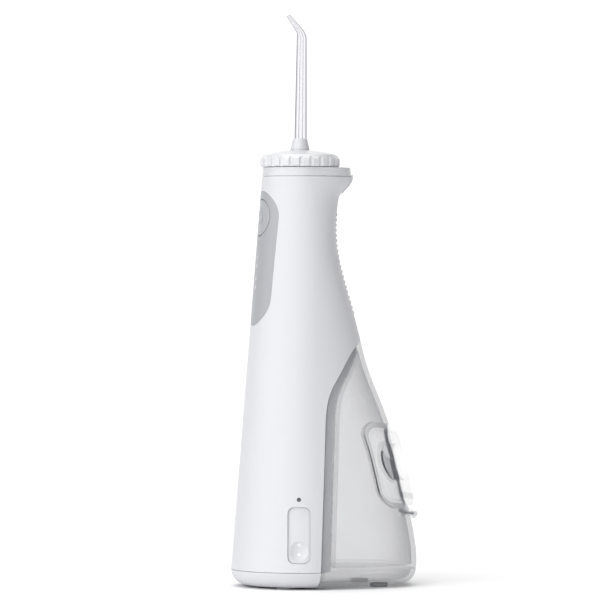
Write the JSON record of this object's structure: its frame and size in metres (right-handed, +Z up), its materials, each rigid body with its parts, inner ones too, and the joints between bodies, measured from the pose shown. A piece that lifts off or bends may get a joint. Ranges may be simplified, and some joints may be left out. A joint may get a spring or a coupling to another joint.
{
  "type": "cordless water flosser",
  "caption": "Handheld cordless dental water jet: tapered handle, power button, slide-off clear tank with hinged filling door, fluted tip knob and bent clear jet tip.",
  "frame": {"origin": "centre of the footprint on the surface the feet stand on", "axes": "+Z up along the handle to the jet tip, -Y the front with the power button, +Y the rear with the tank door, +X the side with the charging inlet"},
  "size_m": [0.0646, 0.0874, 0.2678],
  "materials": {
    "housing_white": "satin white shell",
    "bulkhead_white": "satin white",
    "base_white": "satin white",
    "collar_white": "semi gloss white",
    "knob_white": "semi gloss white",
    "eject_white": "satin white",
    "port_white": "satin white",
    "valve_white": "satin white",
    "panel_grey": "satin light grey",
    "button_grey": "satin light grey",
    "grip_soft": "soft white grip",
    "tank_clear": "clear polished",
    "tank_base_clear": "clear polished",
    "door_clear": "clear polished",
    "disc_clear": "clear frosted",
    "gasket_clear": "translucent silicone",
    "tip_clear": "clear polished",
    "lens_frosted": "frosted",
    "lens_smoke": "smoked",
    "foot_rubber": "matte dark rubber",
    "seal_silicone": "silicone",
    "hose_silicone": "translucent silicone",
    "valve_rubber": "matte black rubber",
    "screw_steel": "plated steel",
    "shaft_steel": "ground steel",
    "spring_steel": "spring steel",
    "motor_can": "plated can",
    "battery_wrap": "shrink wrapped can",
    "contact_nickel": "nickel plated contacts",
    "gear_white": "natural acetal",
    "pump_plastic": "moulded grey white",
    "frame_grey": "moulded grey",
    "board_green": "solder mask",
    "switch_black": "moulded black"
  },
  "bodies": {
    "handle": {"main_housing": "housing_white", "rear_bulkhead": "bulkhead_white", "bulkhead_screws": "screw_steel", "base_cap": "base_white", "base_screws": "screw_steel", "front_feet": "foot_rubber", "top_collar": "collar_white", "front_panel": "panel_grey", "button_seal": "seal_silicone", "mode_lenses": "lens_frosted", "charge_port": "port_white", "charge_contacts": "contact_nickel", "charge_led_lens": "lens_smoke", "rear_grip": "grip_soft", "nozzle_socket": "pump_plastic", "socket_seal": "seal_silicone", "socket_bracket": "frame_grey", "latch_spring": "spring_steel", "motor": "motor_can", "gear_frame": "frame_grey", "gear_shaft": "shaft_steel", "pump_body": "pump_plastic", "inlet_hose": "hose_silicone", "outlet_tube": "hose_silicone", "inlet_nipple": "pump_plastic", "inlet_o_ring": "valve_rubber", "battery_cell": "battery_wrap", "chassis": "frame_grey", "control_board": "board_green", "button_switch": "switch_black", "board_parts": "switch_black"},
    "power_button": {"power_button": "button_grey"},
    "eject": {"eject_button": "eject_white", "latch_plate": "gear_white"},
    "tip_knob": {"tip_knob": "knob_white"},
    "jet_tip": {"jet_tip": "tip_clear", "tip_collar": "collar_white"},
    "motor_rotor": {"motor_shaft": "shaft_steel", "motor_pinion": "gear_white"},
    "drive_gear": {"drive_gear": "gear_white"},
    "piston": {"piston": "pump_plastic", "piston_seal": "seal_silicone", "wrist_pin": "shaft_steel"},
    "connecting_rod": {"connecting_rod": "gear_white"},
    "inlet_valve": {"inlet_valve": "valve_rubber"},
    "outlet_valve": {"outlet_valve": "valve_rubber"},
    "tank": {"tank_shell": "tank_clear", "tank_bottom": "tank_base_clear", "tank_feet": "foot_rubber", "tank_valve_body": "valve_white", "door_hinge_pin": "shaft_steel"},
    "tank_valve": {"tank_valve_poppet": "valve_rubber"},
    "tank_door": {"tank_door": "door_clear", "door_beads": "door_clear", "thumb_disc": "disc_clear", "door_gasket": "gasket_clear"}
  },
  "joints": [
    {"name": "power_button_press", "type": "slide", "parent": "handle", "child": "power_button", "axis": [0, 1, 0], "range_m": [0, 0.001], "stiffness_N_per_m": 900},
    {"name": "tip_eject_press", "type": "slide", "parent": "handle", "child": "eject", "axis": [0, -1, 0], "range_m": [0, 0.0025], "stiffness_N_per_m": 900},
    {"name": "tip_knob_turn", "type": "hinge", "parent": "handle", "child": "tip_knob", "pos_m": [0, -0.0113, 0.2], "axis": [0, 0, 1], "continuous": true},
    {"name": "tip_pull_off", "type": "slide", "parent": "tip_knob", "child": "jet_tip", "axis": [0, 0, 1], "range_m": [0, 0.035]},
    {"name": "motor_spin", "type": "hinge", "parent": "handle", "child": "motor_rotor", "pos_m": [-0.008, -0.0223, 0.049], "axis": [0, 0, 1], "continuous": true},
    {"name": "gear_spin", "type": "hinge", "parent": "handle", "child": "drive_gear", "pos_m": [0.00813, -0.02032, 0.049], "axis": [0, 0, 1], "continuous": true},
    {"name": "piston_stroke", "type": "slide", "parent": "handle", "child": "piston", "axis": [-1, 0, 0], "range_m": [0, 0.005]},
    {"name": "wrist_pin_turn", "type": "hinge", "parent": "piston", "child": "connecting_rod", "pos_m": [-0.00237, -0.02032, 0.0585], "axis": [0, 0, 1], "range_deg": [-11, 11]},
    {"name": "inlet_valve_lift", "type": "slide", "parent": "handle", "child": "inlet_valve", "axis": [0, 0, 1], "range_m": [0, 0.0008], "stiffness_N_per_m": 40},
    {"name": "outlet_valve_lift", "type": "slide", "parent": "handle", "child": "outlet_valve", "axis": [0, 0, 1], "range_m": [0, 0.0008], "stiffness_N_per_m": 40},
    {"name": "tank_slide_off", "type": "slide", "parent": "handle", "child": "tank", "axis": [0, 1, 0], "range_m": [0, 0.06]},
    {"name": "tank_valve_lift", "type": "slide", "parent": "tank", "child": "tank_valve", "axis": [0, 1, 0], "range_m": [0, 0.0015], "stiffness_N_per_m": 60},
    {"name": "tank_door_turn", "type": "hinge", "parent": "tank", "child": "tank_door", "pos_m": [0, 0.04202, 0.0334], "axis": [-1, 0, 0], "range_deg": [0, 100]}
  ],
  "couplings": [
    {"joint": "motor_spin", "follows": "gear_spin", "ratio": -4}
  ]
}
